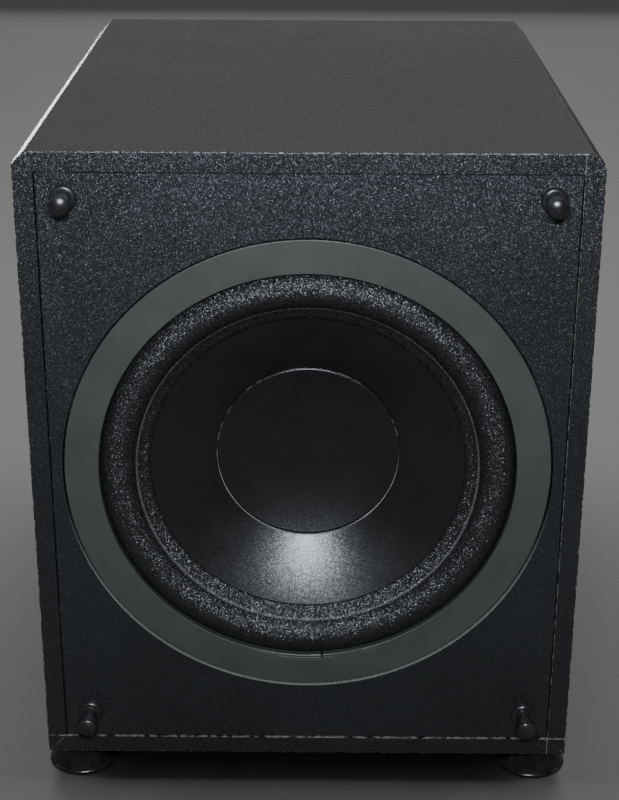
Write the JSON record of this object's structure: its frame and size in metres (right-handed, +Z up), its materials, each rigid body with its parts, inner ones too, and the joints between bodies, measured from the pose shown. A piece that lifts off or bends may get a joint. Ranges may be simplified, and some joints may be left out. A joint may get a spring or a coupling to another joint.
{
  "type": "powered subwoofer",
  "caption": "Powered bass loudspeaker: black wrapped box with chamfered top, long-throw driver in a grey ring, grille studs, rear port and amplifier panel.",
  "frame": {"origin": "on the floor under the middle of the whole object, grille studs and rear heat sink included", "axes": "+Z up; the driver and the grille studs face -Y; the amplifier panel faces +Y; +X is to the right as seen from the front"},
  "size_m": [0.317, 0.4392, 0.388],
  "materials": {
    "wrapped_board": "textured black vinyl wrap",
    "baffle_wrap": "pebbled black vinyl wrap",
    "bare_board": "raw",
    "trim_grey": "smooth satin",
    "gloss_black": "gloss",
    "satin_black": "satin",
    "cone_black": "satin",
    "foam": "open foam",
    "spider_cloth": "resin treated cloth",
    "foam_gasket": "matte",
    "painted_steel": "black powder coat",
    "bare_steel": "zinc plated",
    "ferrite": "matte",
    "copper": "lacquered",
    "former_alloy": "bare",
    "screw_black": "black oxide",
    "sink_alloy": "black anodised",
    "circuit": "solder mask",
    "can_sleeve": "sleeved",
    "fibre": "pressed fibre",
    "lead_skin": "insulated",
    "plated": "nickel plated",
    "lever_black": "gloss",
    "lever_red": "gloss",
    "lamp_green": "clear tinted"
  },
  "bodies": {
    "cabinet": {"top_board": "wrapped_board", "left_board": "wrapped_board", "right_board": "wrapped_board", "bottom_board": "wrapped_board", "corner_strip_left": "wrapped_board", "corner_strip_right": "wrapped_board", "rear_board": "wrapped_board", "front_baffle": "baffle_wrap", "baffle_battens": "bare_board", "window_brace": "bare_board", "trim_ring": "trim_grey", "foot_front_left": "gloss_black", "foot_front_right": "gloss_black", "foot_rear_left": "gloss_black", "foot_rear_right": "gloss_black", "grille_peg_top_left": "gloss_black", "grille_peg_top_right": "gloss_black", "grille_peg_bottom_left": "gloss_black", "grille_peg_bottom_right": "gloss_black", "flange_gasket": "foam_gasket", "amp_gasket": "foam_gasket", "basket": "painted_steel", "amp_plate": "painted_steel", "front_plate": "bare_steel", "yoke": "bare_steel", "transformer_core": "bare_steel", "control_pots": "bare_steel", "foot_screws": "bare_steel", "magnet": "ferrite", "transformer_coil": "copper", "driver_screws": "screw_black", "amp_screws": "screw_black", "heat_sink": "sink_alloy", "circuit_board": "circuit", "capacitors": "can_sleeve", "driver_terminals": "fibre", "speaker_leads": "lead_skin", "line_jack_sleeves": "plated", "inlet_pins": "plated", "port_tube": "satin_black", "line_jacks": "satin_black", "phase_switch": "satin_black", "rocker_frame": "satin_black", "mains_inlet": "satin_black", "speaker_terminal_block": "satin_black", "status_lamp": "lamp_green"},
    "diaphragm": {"cone": "cone_black", "dust_cap": "cone_black", "coil_former": "former_alloy", "voice_coil": "copper", "surround": "foam", "spider": "spider_cloth"},
    "level_control": {"level_knob": "satin_black"},
    "lowpass_control": {"lowpass_knob": "satin_black"},
    "phase_control": {"phase_slider": "satin_black"},
    "power_control": {"power_rocker": "satin_black"},
    "lever_1": {"terminal_lever_1": "lever_black"},
    "lever_2": {"terminal_lever_2": "lever_red"},
    "lever_3": {"terminal_lever_3": "lever_black"},
    "lever_4": {"terminal_lever_4": "lever_red"}
  },
  "joints": [
    {"name": "diaphragm_slide", "type": "slide", "parent": "cabinet", "child": "diaphragm", "axis": [0, -1, 0], "range_m": [-0.008, 0.008], "stiffness_N_per_m": 2400, "deforming": ["surround", "spider"]},
    {"name": "level_turn", "type": "hinge", "parent": "cabinet", "child": "level_control", "pos_m": [0.055, 0.2061, 0.165], "axis": [0, 1, 0], "range_deg": [-150, 150]},
    {"name": "lowpass_turn", "type": "hinge", "parent": "cabinet", "child": "lowpass_control", "pos_m": [0.01, 0.2061, 0.165], "axis": [0, 1, 0], "range_deg": [-150, 150]},
    {"name": "phase_slide", "type": "slide", "parent": "cabinet", "child": "phase_control", "axis": [-1, 0, 0], "range_m": [0, 0.004]},
    {"name": "power_rock", "type": "hinge", "parent": "cabinet", "child": "power_control", "pos_m": [0.058, 0.1991, 0.078], "axis": [1, 0, 0], "range_deg": [0, 16]},
    {"name": "lever_1_press", "type": "hinge", "parent": "cabinet", "child": "lever_1", "pos_m": [-0.0132, 0.2026, 0.1305], "axis": [-1, 0, 0], "range_deg": [0, 11], "stiffness_Nm_per_rad": 0.05, "springref_deg": -11.46},
    {"name": "lever_2_press", "type": "hinge", "parent": "cabinet", "child": "lever_2", "pos_m": [-0.0244, 0.2026, 0.1305], "axis": [-1, 0, 0], "range_deg": [0, 11], "stiffness_Nm_per_rad": 0.05, "springref_deg": -11.46},
    {"name": "lever_3_press", "type": "hinge", "parent": "cabinet", "child": "lever_3", "pos_m": [-0.0356, 0.2026, 0.1305], "axis": [-1, 0, 0], "range_deg": [0, 11], "stiffness_Nm_per_rad": 0.05, "springref_deg": -11.46},
    {"name": "lever_4_press", "type": "hinge", "parent": "cabinet", "child": "lever_4", "pos_m": [-0.0468, 0.2026, 0.1305], "axis": [-1, 0, 0], "range_deg": [0, 11], "stiffness_Nm_per_rad": 0.05, "springref_deg": -11.46}
  ]
}
